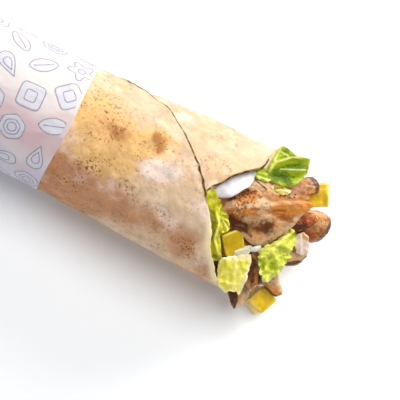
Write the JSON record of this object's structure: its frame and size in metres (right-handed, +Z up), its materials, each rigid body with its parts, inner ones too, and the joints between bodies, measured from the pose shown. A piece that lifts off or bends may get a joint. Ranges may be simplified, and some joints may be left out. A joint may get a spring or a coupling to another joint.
{
  "type": "gyro wrap",
  "caption": "Round flatbread rolled round roast meat strips, salad leaves, yoghurt sauce and pickled dice, its lower end gathered into a plain paper sleeve.",
  "frame": {"origin": "bottom centre of the whole wrap's box, on the surface it lies on", "axes": "+X along the roll from the paper sleeve's closed end to the open mouth, +Z up, +Y across"},
  "size_m": [0.231, 0.0778, 0.0665],
  "materials": {
    "paper": "thin uncoated white paper",
    "bread": "dry baked flatbread, toasted brown in spots",
    "meat": "moist roast chicken with browned, peppered edges",
    "lettuce": "fresh green leaf, slightly glossy",
    "pale_lettuce": "pale yellow-green inner leaf",
    "dice": "wet, slightly see-through pickled yellow pepper",
    "sauce": "smooth white yoghurt sauce"
  },
  "bodies": {
    "root": {"paper_sleeve": "paper", "flatbread": "bread", "meat_core": "meat", "meat_slice_top": "meat", "meat_slice_far": "meat", "meat_knob": "meat", "meat_pale": "meat", "meat_dark": "meat", "meat_low": "meat", "meat_tip": "meat", "meat_end": "meat", "meat_under": "meat", "meat_side": "meat", "meat_bottom": "meat", "leaf_far": "lettuce", "leaf_front": "lettuce", "leaf_near": "lettuce", "leaf_pale": "pale_lettuce", "sauce_dollop": "sauce", "sauce_smear": "sauce", "dice_far": "dice", "dice_near": "dice", "dice_low": "dice", "dice_small": "dice"}
  },
  "joints": []
}
